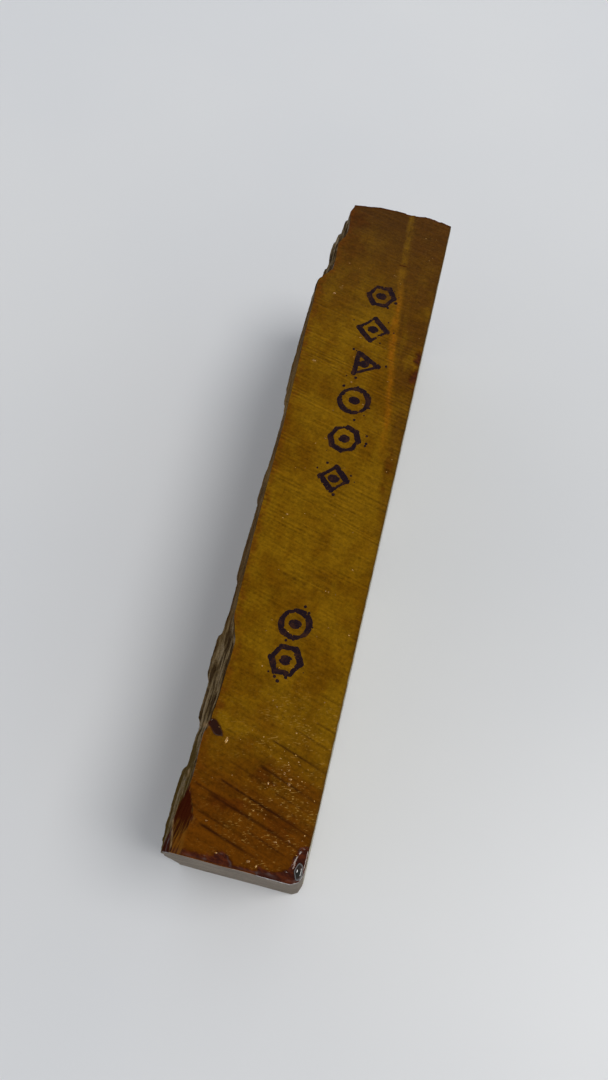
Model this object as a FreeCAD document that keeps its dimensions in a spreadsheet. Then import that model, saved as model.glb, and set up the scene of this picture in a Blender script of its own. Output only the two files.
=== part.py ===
"""Natural finishing whetstone, lacquered on every side but its honing face, standing on a long side.

Frame: +X out of the honing face, +Y along the length from the square end to the broken end,
+Z up to the stamped side. The origin is the centre of the footprint, on the table.
"""

import FreeCAD, Part
import os
import Sketcher

# Driving dimensions in millimetres, each a named cell of the sheet.
SIZES = {
    "overall_length": 208.2,
    "overall_height": 68.0,
    "overall_depth": 40.0,  # honing face to the furthest point of the riven back
    "film_thick": 0.25,  # brushed lacquer
    "shoulder_drop": 10.0,  # stamped side down to the fullest line of the back
    "bevel_width": 2.6,  # worn corner between the honing face and the square end
    "bevel_length": 3.6,
    "bevel_bulge": 0.9,
    "flake_radius": 14.0,  # hollow flake off the back edge beside the square end
    "flake_inset": 36.0,
    "flake_from_end": 8.3,
    "flake_rise": 11.6,
    "spall_radius": 3.4,  # shorter, steeper flake further along the same edge
    "spall_inset": 33.0,
    "spall_from_end": 30.9,
    "spall_rise": 1.6,
    "bead_width": 2.2,  # hardened run of lacquer beside the worn corner
    "bead_length": 4.0,
    "bead_height": 0.7,
    "bead_inset": 1.5,
    "bead_from_end": 3.1,
    "ink_thick": 0.06,
    "mark_radius": 4.6,
    "mark_inset": 16.4,  # honing face to the line of the stamps
    "upper_first": 66.3,  # first mark of the upper stamp, from the middle of the length
    "upper_pitch": 13.4,
    "lower_first": -44.5,
    "lower_pitch": 9.8,
}

# The outline from the honing face round the broken end and the riven back to the square end:
# place along the length from the middle, then depth at the stamped side, at the shoulder and at
# the foot, as shares of overall_length and overall_depth.
OUTLINE = [
    (0.486, 0.000, 0.000, 0.000),
    (0.499, 0.190, 0.190, 0.200),
    (0.494, 0.380, 0.380, 0.370),
    (0.500, 0.600, 0.600, 0.620),
    (0.490, 0.818, 0.850, 0.880),
    (0.475, 0.834, 0.880, 0.900),
    (0.463, 0.830, 0.908, 0.915),
    (0.450, 0.814, 0.950, 0.935),
    (0.430, 0.808, 0.963, 0.950),
    (0.416, 0.830, 0.950, 0.955),
    (0.405, 0.862, 0.944, 0.958),
    (0.393, 0.855, 0.948, 0.960),
    (0.378, 0.840, 0.966, 0.965),
    (0.349, 0.834, 0.966, 0.975),
    (0.336, 0.888, 0.968, 0.985),
    (0.326, 0.908, 0.966, 0.985),
    (0.260, 0.910, 0.966, 0.995),
    (0.210, 0.898, 0.966, 1.000),
    (0.160, 0.882, 0.954, 0.995),
    (0.132, 0.874, 0.932, 0.990),
    (0.060, 0.858, 0.922, 0.980),
    (-0.060, 0.838, 0.905, 0.965),
    (-0.115, 0.829, 0.906, 0.963),
    (-0.165, 0.818, 0.892, 0.960),
    (-0.197, 0.810, 0.887, 0.955),
    (-0.227, 0.797, 0.888, 0.950),
    (-0.241, 0.765, 0.896, 0.950),
    (-0.258, 0.745, 0.890, 0.950),
    (-0.336, 0.754, 0.891, 0.945),
    (-0.354, 0.760, 0.866, 0.940),
    (-0.368, 0.775, 0.883, 0.942),
    (-0.397, 0.770, 0.873, 0.938),
    (-0.422, 0.766, 0.897, 0.940),
    (-0.488, 0.760, 0.896, 0.935),
    (-0.500, 0.757, 0.880, 0.925),
]
BROKEN_END_POINTS = 5
# Each level's column of OUTLINE and height.
LEVELS = {
    "foot": (3, "0"),
    "shoulder": (2, "sizes.overall_height - sizes.shoulder_drop"),
    "top": (1, "sizes.overall_height"),
}

# Generic geometric marks in place of the ink stamps: sides of the ring, 0 where it is round, and
# its size as a share of mark_radius.
UPPER_MARKS = [(6, 1.00), (4, 1.08), (3, 1.12), (0, 1.04), (8, 1.02), (4, 0.96)]
LOWER_MARKS = [(0, 0.90), (6, 0.96)]
RING_HOLE = 0.68
HUB = 0.30

doc = FreeCAD.newDocument("whetstone")


def make_sheet():
    """Puts every driving dimension in a cell of its own, with its name as the alias."""
    sheet = doc.addObject("Spreadsheet::Sheet", "sizes")
    for row, (name, value) in enumerate(SIZES.items(), start=1):
        sheet.set(f"A{row}", name)
        sheet.set(f"B{row}", str(value))
        sheet.setAlias(f"B{row}", name)
    doc.recompute()


def place(item, x, y, z):
    """Binds an object's position to the sheet."""
    for axis, expression in (("x", x), ("y", y), ("z", z)):
        item.setExpression(f"Placement.Base.{axis}", expression)


def outline(column, film):
    """The outline's corners at one level, anticlockwise from above, as pairs of expressions.

    film is 0 for the outside of the lacquer and 1 for the stone, which lies one film further in
    everywhere but at the honing face.
    """
    skin = f"{film} * sizes.film_thick"
    hone = "sizes.overall_depth / 2"
    near = f"{skin} - sizes.overall_length / 2"
    corners = [
        (f"{hone} - sizes.bevel_width", near),
        (f"{hone} - sizes.bevel_bulge", f"{near} + sizes.bevel_bulge"),
        (hone, f"{near} + sizes.bevel_length"),
    ]
    last = len(OUTLINE) - 1
    for index, point in enumerate(OUTLINE):
        x = f"{hone} - sizes.overall_depth * {point[column]}"
        y = f"sizes.overall_length * {point[0]}"
        if index >= BROKEN_END_POINTS - 1:
            x += f" + {skin}"
        if index < BROKEN_END_POINTS:
            y += f" - {skin}"
        if index == last:
            y += f" + {skin}"
        corners.append((x, y))
    return corners


def section(body, name, corners, level):
    """A closed outline at one level of the block, every corner of it bound to the sheet."""
    ground = next(p for p in body.Origin.OriginFeatures if p.Role == "XY_Plane")
    sketch = body.newObject("Sketcher::SketchObject", name)
    sketch.AttachmentSupport = [(ground, "")]
    sketch.MapMode = "FlatFace"
    sketch.setExpression("AttachmentOffset.Base.z", level)
    points = [
        FreeCAD.Vector(body.evalExpression(x), body.evalExpression(y), 0) for x, y in corners
    ]
    count = len(points)
    for index in range(count):
        sketch.addGeometry(Part.LineSegment(points[index], points[(index + 1) % count]), False)
    for index in range(count):
        joint = Sketcher.Constraint("Coincident", index, 2, (index + 1) % count, 1)
        sketch.addConstraint(joint)
    for index, (x, y) in enumerate(corners):
        for kind, expression in (("DistanceX", x), ("DistanceY", y)):
            value = body.evalExpression(expression)
            number = sketch.addConstraint(Sketcher.Constraint(kind, -1, 1, index, 1, value))
            sketch.setExpression(f"Constraints[{number}]", expression)
    return sketch


def block(name, film):
    """The whole block as one body: three outlines joined by straight facets, less its flakes."""
    body = doc.addObject("PartDesign::Body", name)
    skin = f"{film} * sizes.film_thick"
    depths = {"foot": skin, "shoulder": "0", "top": f"-{skin}"}
    sections = [
        section(body, f"{name}_{level}", outline(column, film), f"{height} + {depths[level]}")
        for level, (column, height) in LEVELS.items()
    ]
    loft = body.newObject("PartDesign::AdditiveLoft", f"{name}_loft")
    loft.Profile = sections[0]
    loft.Sections = sections[1:]
    loft.Ruled = True
    loft.Refine = True
    doc.recompute()
    for flake in ("flake", "spall"):
        ball = body.newObject("PartDesign::SubtractiveSphere", f"{name}_{flake}")
        ball.setExpression("Radius", f"sizes.{flake}_radius + {skin}")
        place(
            ball,
            f"sizes.overall_depth / 2 - sizes.{flake}_inset",
            f"sizes.{flake}_from_end - sizes.overall_length / 2",
            f"sizes.overall_height + sizes.{flake}_rise",
        )
    doc.recompute()
    return body


def make_lacquer(outside, stone):
    """The one continuous coat: all that lies between the outside and the stone."""
    coat = doc.addObject("Part::Cut", "lacquer_coat")
    coat.Base = outside
    coat.Tool = stone
    return coat


def make_bead(outside):
    """The lens of lacquer that stands proud of the coat beside the worn corner."""
    lens = doc.addObject("Part::Ellipsoid", "bead_lens")
    lens.setExpression("Radius1", "sizes.bead_height")
    lens.setExpression("Radius2", "sizes.bead_width / 2")
    lens.setExpression("Radius3", "sizes.bead_length / 2")
    place(
        lens,
        "sizes.overall_depth / 2 - sizes.bead_inset",
        "sizes.bead_from_end - sizes.overall_length / 2",
        "sizes.overall_height",
    )
    bead = doc.addObject("Part::Cut", "corner_bead")
    bead.Base = lens
    bead.Tool = outside
    return bead


def round_or_sided(name, sides, share):
    """A flat pad of ink with that many sides, or round for 0."""
    kind = "Part::Prism" if sides else "Part::Cylinder"
    pad = doc.addObject(kind, name)
    if sides:
        pad.Polygon = sides
    pad.setExpression("Circumradius" if sides else "Radius", f"sizes.mark_radius * {share}")
    pad.setExpression("Height", "sizes.ink_thick")
    return pad


def make_stamp(name, marks, first, pitch):
    """A column of marks, each a ring round a hub, lying on the lacquer."""
    pads = []
    for index, (sides, share) in enumerate(marks):
        rim = round_or_sided(f"{name}_rim_{index}", sides, share)
        hole = round_or_sided(f"{name}_hole_{index}", sides, share * RING_HOLE)
        hub = round_or_sided(f"{name}_hub_{index}", 0, HUB)
        for pad in (rim, hole, hub):
            place(
                pad,
                "sizes.overall_depth / 2 - sizes.mark_inset",
                f"sizes.{first} - sizes.{pitch} * {index}",
                "sizes.overall_height",
            )
        ring = doc.addObject("Part::Cut", f"{name}_ring_{index}")
        ring.Base = rim
        ring.Tool = hole
        pads += [ring, hub]
    stamp = doc.addObject("Part::Compound", name)
    stamp.Links = pads
    return stamp


def check(parts):
    """Stops the build if any object failed, or a sub-part is missing or unsound."""
    failed = [o.Name for o in doc.Objects if {"Invalid", "Error"} & set(o.State)]
    if failed:
        raise RuntimeError(f"failed objects: {failed}")
    for part in parts:
        if part.Shape.isNull() or not part.Shape.isValid():
            raise RuntimeError(f"unsound shape: {part.Label}")


def main():
    make_sheet()
    outside = block("outside", 0)
    stone = block("stone_block", 1)
    parts = [
        stone,
        make_lacquer(outside, stone),
        make_bead(outside),
        make_stamp("upper_stamp", UPPER_MARKS, "upper_first", "upper_pitch"),
        make_stamp("lower_stamp", LOWER_MARKS, "lower_first", "lower_pitch"),
    ]
    doc.recompute()
    check(parts)
    os.makedirs("parts", exist_ok=True)
    for part in parts:
        part.Shape.exportStep(f"parts/{part.Label}.step")
        box = part.Shape.BoundBox
        print(f"{part.Label}: {box.XLength:.2f} x {box.YLength:.2f} x {box.ZLength:.2f} mm,",
              f"{part.Shape.Volume:.1f} mm3, {len(part.Shape.Solids)} solids")


main()
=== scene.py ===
"""Looks of the lacquered natural whetstone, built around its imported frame.

The coat and the stone are fine meshes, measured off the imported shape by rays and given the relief
of sawn, riven and chipped rock under brushed lacquer. Ink marks and a bead of lacquer replace the
plain pads. Lengths are millimetres until to_mesh() turns them into metres.
"""

import math
import random

import bmesh
import bpy
import numpy as np
from mathutils import Matrix, Vector, noise
from mathutils.bvhtree import BVHTree


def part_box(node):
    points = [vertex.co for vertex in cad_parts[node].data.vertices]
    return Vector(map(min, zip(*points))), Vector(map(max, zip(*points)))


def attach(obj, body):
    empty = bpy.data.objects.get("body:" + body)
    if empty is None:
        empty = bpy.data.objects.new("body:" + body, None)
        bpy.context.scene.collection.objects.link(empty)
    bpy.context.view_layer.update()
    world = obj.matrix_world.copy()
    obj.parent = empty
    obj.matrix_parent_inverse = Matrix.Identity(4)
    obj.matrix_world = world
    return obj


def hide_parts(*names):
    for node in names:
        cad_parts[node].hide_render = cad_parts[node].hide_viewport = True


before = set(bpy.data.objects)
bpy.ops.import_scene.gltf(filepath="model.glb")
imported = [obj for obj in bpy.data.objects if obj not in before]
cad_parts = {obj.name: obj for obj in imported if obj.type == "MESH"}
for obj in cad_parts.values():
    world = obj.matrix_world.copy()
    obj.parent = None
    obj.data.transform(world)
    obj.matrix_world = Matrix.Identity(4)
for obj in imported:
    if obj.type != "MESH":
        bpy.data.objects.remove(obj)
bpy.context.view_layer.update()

MM = 0.001
coat_low, coat_high = (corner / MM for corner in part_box("lacquer_coat"))
HONE, NEAR, FAR, TOP = coat_high.x, coat_low.y, coat_high.y, coat_high.z
BACK = coat_low.x
LENGTH = FAR - NEAR
CORNER = NEAR + 0.99 * LENGTH  # where the riven back meets the broken end
FILM = 0.35  # lacquer, a little fuller than the frame's even coat
LIP = 0.14  # chamfer of bare stone between the lacquer's edge and the honing face
COARSE = 0.35  # share of the detail that the hidden skins get
PLATE = 1.3  # height of the riven back's steps from one layer of the rock to the next
SAW_SLOPE = math.radians(16.0)  # saw marks across the stamped side, against +X
SAW_PITCH = 1.17

# Hollows of the frame: centre, radius.
FLAKE = (Vector((HONE - 36.0, NEAR + 8.3, TOP + 11.6)), 14.0)
SPALL = (Vector((HONE - 33.0, NEAR + 30.9, TOP + 1.6)), 3.4)

# Scratches of the coarse saw near the square end: start, end, half width, strength.
SCRATCHES = [
    ((4.9, -74.0), (20.3, -79.0), 0.2, 0.8),
    ((-5.3, -85.4), (19.7, -93.4), 0.22, 1.0),
    ((3.1, -80.2), (19.2, -85.8), 0.26, 0.8),
    ((8.7, -85.7), (18.4, -88.6), 0.16, 0.6),
    ((-6.6, -89.2), (18.0, -96.7), 0.28, 0.75),
    ((-10.1, -87.8), (1.3, -91.0), 0.2, 0.7),
    ((-6.8, -96.3), (8.6, -100.6), 0.24, 0.95),
    ((5.3, -95.5), (16.5, -99.2), 0.2, 0.6),
    ((-1.4, -90.8), (13.8, -95.4), 0.32, 0.65),
    ((14.4, -67.5), (20.0, -69.2), 0.2, 0.65),
    ((3.2, -88.0), (16.1, -91.9), 0.24, 0.55),
    ((-3.8, -31.2), (6.8, -34.4), 0.13, 0.65),
    ((13.0, -60.5), (20.0, -62.6), 0.14, 0.4),
    ((9.0, -70.0), (20.0, -73.6), 0.17, 0.5),
    ((-7.6, -93.6), (-0.4, -95.8), 0.16, 0.55),
    ((-4.2, -81.0), (5.5, -84.0), 0.15, 0.45),
]

# Pale ridges: painted highlights along the ridges' brinks, with scuffs where the lacquer is thin:
# start, end, half width, strength.
SCUFF_HIGHLIGHTS = [
    ((-13.0, -96.5), (-12.1, -99.0), 0.24, 0.75),
    ((-12.1, -99.0), (-11.3, -101.5), 0.2, 0.8),
    ((-11.3, -101.5), (-10.7, -104.2), 0.2, 0.8),
    ((-12.8, -73.2), (-10.5, -74.4), 0.34, 0.6),
    ((-12.9, -84.5), (-12.2, -86.5), 0.3, 0.5),
    ((-9.6, 67.2), (-9.2, 66.4), 0.3, 0.45),
    ((-11.4, 37.4), (-10.6, 37.2), 0.26, 0.5),
]

# Dark, thick or worn-through places in the lacquer: centre, half sizes, strength.
STAINS = [
    ((5.6, -82.6), (4.4, 3.6), 0.5),
    ((-0.7, -90.8), (6.0, 1.5), 0.45),
    ((17.4, 5.5), (1.5, 7.0), 0.45),
    ((19.2, 45.5), (1.5, 3.6), 0.9),
    ((18.9, 37.3), (1.9, 3.8), 0.85),
    ((-10.0, 96.5), (3.5, 5.5), 0.35),
    ((-9.0, 84.0), (4.5, 8.5), 0.25),
    ((12.4, -92.5), (5.0, 2.6), 0.3),
    ((7.6, 80.3), (1.8, 0.35), 0.8),
]
CHIP = ((0.4, -103.2), (3.4, 2.2))  # a chip out of the square end's edge: centre, half sizes

# The spall's dark crack in the stamped side.
CRACK = [
    (-10.8, -73.6), (-10.0, -72.2), (-8.7, -72.8), (-7.6, -73.8), (-6.2, -76.2), (-8.1, -76.3),
    (-9.3, -75.4), (-10.4, -74.4),
]

# Dark places round the flake: its own face, and the side of the block beyond its pale ridge.
FLAKE_FACE = [
    (-10.6, -88.6), (-9.0, -92.5), (-8.4, -94.5), (-7.0, -95.7), (-8.3, -97.0), (-8.4, -99.5),
    (-8.1, -103.0), (-8.1, -107.0), (-11.0, -107.0), (-10.8, -103.0), (-11.3, -101.5),
    (-12.1, -99.0), (-13.0, -96.4), (-12.5, -93.5),
]
FLAKE_SIDE = [
    (-12.4, -98.0), (-13.9, -101.0), (-14.2, -107.0), (-10.9, -107.0), (-11.5, -101.5),
    (-12.2, -99.0),
]

# The thick, dark run of lacquer at the worn corner, as an outline that leaves the stamped side.
PUDDLE = [
    (21.5, -94.0), (19.5, -95.3), (17.8, -96.0), (17.3, -97.0), (16.7, -98.6), (16.5, -100.2),
    (16.0, -101.2), (14.0, -102.2), (12.0, -102.5), (9.5, -102.1), (9.0, -107.0), (21.5, -107.5),
]


def field(points, cell, octaves=1, seed=0):
    """Smooth noise from about -1 to 1 at each point, with features about one cell across."""
    shift = Vector((seed * 17.3, seed * 5.9, seed * 11.1))
    return np.array(
        [noise.fractal(Vector(p) / cell + shift, 1.0, 2.0, octaves) for p in points]
    )


def ramp(start, end, value):
    """0 up to start, 1 from end on and a smooth rise between; start may be the higher one."""
    t = np.clip((value - start) / (end - start), 0.0, 1.0)
    return t * t * (3.0 - 2.0 * t)


def blur(values, width):
    """A moving average down the first axis that leaves the ends where they are."""
    kernel = np.hanning(2 * width + 3)[1:-1]
    kernel /= kernel.sum()
    reach = len(kernel) // 2
    padding = [(reach, reach)] + [(0, 0)] * (values.ndim - 1)
    padded = np.pad(values, padding, mode="edge")
    return np.apply_along_axis(lambda row: np.convolve(row, kernel, "valid"), 0, padded)


def in_hollow(points, hollow, margin):
    """1 inside a hollow's ball and 0 a margin outside it."""
    centre, radius = hollow
    away = np.linalg.norm(points - np.array(centre), axis=-1)
    return ramp(radius + margin, radius, away)


class Frame:
    """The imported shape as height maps: the back over (y, z) and the ends over x."""

    STEP = 0.5

    def __init__(self):
        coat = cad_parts["lacquer_coat"]
        self.tree = BVHTree.FromObject(coat, bpy.context.evaluated_depsgraph_get())
        self.ys = np.arange(NEAR + 0.02, CORNER, self.STEP)
        self.zs = np.append(np.arange(0.02, TOP, self.STEP), TOP - 0.02)
        self.xs = np.arange(BACK, HONE + self.STEP, self.STEP)
        back = np.array([[self.back_hit(y, z) for z in self.zs] for y in self.ys])
        self.back = blur(back, 1)
        ends = np.array([self.end_hits(x) for x in self.xs])
        self.near = ends[:, 0]
        self.far = blur(ends[:, 1], 4)

    def hit(self, origin, direction):
        return self.tree.ray_cast(Vector(origin) * MM, Vector(direction))[0] / MM

    def back_hit(self, y, z):
        return self.hit((BACK - 10.0, y, z), (1.0, 0.0, 0.0)).x

    def end_hits(self, x):
        inside = min(max(x, HONE - 32.0), HONE - 0.02)
        near = self.hit((inside, NEAR - 10.0, TOP / 2), (0.0, 1.0, 0.0)).y
        far = self.hit((inside, FAR + 10.0, TOP / 2), (0.0, -1.0, 0.0)).y
        return near, far

    def back_profile(self, y):
        """The back's depth at each of self.zs, at one place along the length."""
        place = np.clip((y - self.ys[0]) / self.STEP, 0, len(self.ys) - 1.001)
        row = int(place)
        share = place - row
        return self.back[row] * (1 - share) + self.back[row + 1] * share

    def back_edge(self, y):
        """Where the stamped side ends at the back, at each place along the length."""
        return np.interp(y, self.ys, self.back[:, -1])


shape = Frame()


def broken(x, z):
    """How far the broken end falls short of the frame: steps and ripples, never less than 0."""
    points = [(a, 0.0, b) for a, b in zip(x, z)]
    steps = field(points, 13.0, 2, seed=3)
    treads = np.round(steps * 2.5) / 2.5
    ripple = field(points, 3.1, 4, seed=4)
    return np.clip(0.38 + 0.55 * treads + 0.35 * steps + 0.22 * ripple, 0.0, None)


def far_end(x, z):
    """The broken end's place along the length at each (x, z)."""
    return np.interp(x, shape.xs, shape.far) - broken(x, z)


def near_end(x, z):
    """The square end's place along the length: sawn, with a shallow wave."""
    points = [(a, 5.0, b) for a, b in zip(x, z)]
    return np.interp(x, shape.xs, shape.near) + 0.12 + 0.08 * field(points, 9.0, 3, seed=6)


def stepped(depth, plate):
    """Turns a smooth depth into flat treads, one plate apart, with short steep risers."""
    level = np.floor(depth / plate)
    rise = ramp(0.62, 0.98, depth / plate - level)
    return (level + rise + 0.3) * plate


def riven(x, y, z):
    """Relief of the split back: treads that lie parallel to the honing face, swells and grain."""
    points = np.stack([np.zeros_like(y), y, z], axis=-1)
    along = [NEAR, -80.0, -74.0, -44.0, -30.0, 55.0, 66.0, FAR]
    calm_edge = np.interp(y, along, [0.75, 0.7, 1.0, 0.9, 0.3, 0.3, 1.0, 1.0])
    below = ramp(0.0, 16.0, TOP - z)
    swing = calm_edge * (1.0 - below) + below
    swell = 1.35 * field(points * (1.0, 0.6, 1.0), 17.0, 2, seed=8)
    swell += 0.6 * field(points * (1.0, 0.5, 1.0), 5.0, 2, seed=9)
    smooth = x + swing * swell
    treads = 0.75 * stepped(smooth, PLATE) + 0.25 * stepped(smooth + 0.2, PLATE / 3.0)
    edge = 0.46 + 0.54 * ramp(0.0, 3.0, TOP - z)
    grain = 0.12 * field(points, 2.2, 4, seed=10)
    return (swing * edge) * (treads - x) + grain * edge


# How a skin's points are spread, closer where the detail is: stops from 0 to 1, how many places
# are evenly spaced between each two of them, and extra places that keep the edges crisp.
ALONG = (0.0, 0.235, 0.8, 1.0), (170, 150, 86), [0.15, 0.45, 0.9]  # extras in mm from each end
ACROSS = (0.0, 0.14, 1.0), (22, 62), [0.996]
DOWN = (0.0, 0.2, 1.0), (36, 38), [0.004, 0.996]
FOOT = (0.0, 1.0), (7,), [0.03, 0.97]


def graded(fine, stops, counts, extra):
    """Places from 0 to 1, with that share of the full counts."""
    counts = [max(4, int(count * fine)) for count in counts]
    spans = [np.linspace(a, b, count) for a, b, count in zip(stops, stops[1:], counts)]
    return np.unique(np.concatenate([*spans, extra]))


def stations(fine):
    """Places along the length, from 0 at the square end to 1."""
    stops, counts, near = ALONG
    edge = np.array(near) / LENGTH
    return graded(fine, stops, counts, [*edge, *(1.0 - edge)])


def segment_distance(x, y, start, end):
    """Each point's distance from a straight line between two points, and its share along it."""
    ax, ay = start
    dx, dy = end[0] - ax, end[1] - ay
    along = np.clip(((x - ax) * dx + (y - ay) * dy) / (dx * dx + dy * dy), 0.0, 1.0)
    return np.hypot(x - ax - along * dx, y - ay - along * dy), along


def on_plane(x, y):
    """Points of the stamped side's plane, for noise that doesn't change with height."""
    return np.stack([x, y, np.zeros_like(x)], axis=-1)


def strokes(x, y, lines, seed):
    """How deep in any of the lines each point of the stamped side lies, from 0 to 1."""
    points = on_plane(x, y)
    waver = 0.1 * field(points, 4.0, 2, seed=seed)
    broken_up = ramp(-0.7, 0.0, field(points, 1.6, 2, seed=seed + 1))
    deepest = np.zeros_like(x)
    for start, end, half, strength in lines:
        away, along = segment_distance(x, y + waver, start, end)
        taper = ramp(0.0, 0.1, along) * (0.55 + 0.45 * ramp(0.0, 0.5, 1.0 - along))
        depth = strength * taper * np.exp(-((away / half / 1.3) ** 2)) * (0.6 + 0.4 * broken_up)
        deepest = np.maximum(deepest, depth)
    return deepest


def depth_inside(x, y, corners):
    """How far inside a closed outline each point lies, less than 0 outside it."""
    nearest = np.full_like(x, np.inf)
    inside = np.zeros(len(x), dtype=bool)
    for (ax, ay), (bx, by) in zip(corners, corners[1:] + corners[:1]):
        away, _ = segment_distance(x, y, (ax, ay), (bx, by))
        nearest = np.minimum(nearest, away)
        lean = (bx - ax) / (by - ay) if by != ay else 0.0
        inside ^= ((ay > y) != (by > y)) & (x < ax + (y - ay) * lean)
    return np.where(inside, nearest, -nearest)


def chip_mask(x, y, ragged):
    """1 in the chip at the square end's edge and 0 outside it."""
    (cx, cy), (rx, ry) = CHIP
    away = np.hypot((x - cx) / rx, (y - cy) / ry) + 0.3 * ragged
    return ramp(1.05, 0.75, away)


def crack_mask(x, y, ragged):
    """1 in the spall's crack and 0 outside it."""
    return ramp(-0.15, 0.25, depth_inside(x, y, CRACK) + 0.25 * ragged)


def stain_mask(points):
    """How dark and thick the lacquer is, from 0 to 1, over the whole coat."""
    x, y, z = points.T
    ragged = field(points, 3.0, 4, seed=23)
    fine = field(points, 1.3, 3, seed=27)
    upper = ramp(TOP - 1.6, TOP - 0.8, z)
    high = ramp(TOP - 11.0, TOP - 6.0, z)
    back = y - near_end(x, z)
    dark = [np.zeros(len(points))]
    for (cx, cy), (rx, ry), strength in STAINS:
        away = np.hypot((x - cx) / rx, (y - cy) / ry) + 0.7 * ragged + 0.35 * fine
        dark.append(strength * ramp(1.2, 0.3, away) * upper)
    run = depth_inside(x, y, PUDDLE) + 0.25 * fine
    drips = TOP - 2.5 - 4.5 * np.abs(field(points * (1.0, 1.0, 0.25), 2.4, 2, seed=29))
    dark.append(0.97 * ramp(-0.15, 0.15, run) * ramp(-0.9, 0.3, z - drips))
    brim = far_end(x, z) - y + 0.3 * fine
    dark.append(0.6 * ramp(0.9, 0.15, brim) * upper)
    reach = np.where(x < -2.0, 1.5, 0.95) + 0.35 * fine
    lip = ramp(0.05, 0.3, back) * ramp(1.3, 0.6, back / reach)
    dark.append(0.95 * lip * upper)
    dark.append(chip_mask(x, y, fine) * ramp(0.05, 0.3, back) * upper)
    dark.append(crack_mask(x, y, fine) * ramp(TOP - 3.0, TOP - 2.0, z))
    face = ramp(-0.2, 0.3, depth_inside(x, y, FLAKE_FACE) + 0.25 * fine)
    fade = ramp(-100.5, -95.0, y + 1.6 * ragged)
    dark.append((0.25 + 0.7 * fade) * face * high)
    side = ramp(-0.2, 0.4, depth_inside(x, y, FLAKE_SIDE) + 0.35 * fine)
    dark.append(side * high)
    return np.max(dark, axis=0)


def edge_mask(points):
    """1 at the back edge of the stamped side, fading to 0 a little way in, with a ragged border."""
    x, y, z = points.T
    ragged = field(points, 2.4, 4, seed=26)
    away = x - shape.back_edge(y) + 0.9 * ragged
    return ramp(2.6, 0.4, away) * ramp(TOP - 2.0, TOP - 0.8, z)


def puddle_height(x, y, fine):
    """The run of lacquer: a low, lumpy floor inside a rolled rim."""
    run = depth_inside(x, y, PUDDLE) + 0.25 * fine
    rim = np.exp(-(((run - 0.3 - 0.12 * fine) / 0.26) ** 2)) * (0.7 + 0.55 * fine)
    return 0.3 * rim + (0.1 + 0.05 * fine) * ramp(0.0, 0.6, run)


def stamped_side(x, y):
    """Height of the stamped side at each (x, y)."""
    points = on_plane(x, y)
    fine = field(points, 1.3, 3, seed=27)
    brushed = 0.035 * field(points * (1.0, 0.35, 1.0), 5.0, 3, seed=24) - 0.05
    rough = 0.02 * fine * ramp(-20.0, -80.0, y)
    grooves = -0.15 * strokes(x, y, SCRATCHES, 21) - 0.45 * crack_mask(x, y, fine)
    away = y - near_end(x, np.full_like(x, TOP))
    worn = 0.8 + 0.5 * field(points, 4.0, 3, seed=25)
    near_lip = -0.55 * worn * ramp(1.7, 0.0, away) ** 2
    chip = -0.45 * chip_mask(x, y, fine)
    hone_edge = -0.12 * ramp(0.3, 0.0, HONE - LIP - x)
    return TOP + brushed + rough + grooves + near_lip + chip + hone_edge + puddle_height(x, y, fine)


def back_rows(places, shares_down, inset):
    """The riven back as a grid of points: one row for each place along the length."""
    rows = []
    for place in places:
        y = NEAR + place * (CORNER - NEAR)
        x = shape.back_profile(y)
        points = np.stack([x, np.full_like(x, y), shape.zs], axis=-1)
        smooth = np.maximum(in_hollow(points, FLAKE, 2.0), in_hollow(points, SPALL, 1.5))
        relief = riven(x, np.full_like(x, y), shape.zs)
        chipped = stepped(x + 0.8 * field(points, 3.2, 3, seed=28), 0.55) - x
        x = x + relief * (1.0 - smooth) + 0.55 * chipped * smooth + inset
        x = np.maximum(x, BACK + inset)
        z = inset + shape.zs / TOP * (TOP - 2.0 * inset)
        down = np.concatenate([[0.0], np.cumsum(np.hypot(np.diff(x[::-1]), np.diff(z[::-1])))])
        wanted = shares_down * down[-1]
        found = [np.interp(wanted, down, along[::-1]) for along in (x, z)]
        rows.append(np.stack([found[0], np.full(len(wanted), y), found[1]], axis=-1))
    return np.array(rows)


def between_ends(place, x, z, inset):
    """Each point's place along the length, from its share of the way between the ends."""
    near = near_end(x.ravel(), z.ravel()).reshape(x.shape) + inset
    far = far_end(x.ravel(), z.ravel()).reshape(x.shape) - inset
    return near + place * (far - near)


def side_rows(places, shares_across, edge_x, hone_x, height, inset):
    """A sawn long side as a grid: from the honing edge to edge_x, the back's own edge."""
    x = hone_x[:, None] + shares_across[None, :] * (edge_x - hone_x)[:, None]
    level = np.full_like(x, height)
    return np.stack([x, between_ends(places[:, None], x, level, inset), level], axis=-1)


SAWN, RIVEN, SQUARE = range(3)  # material slots of the coat


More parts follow.
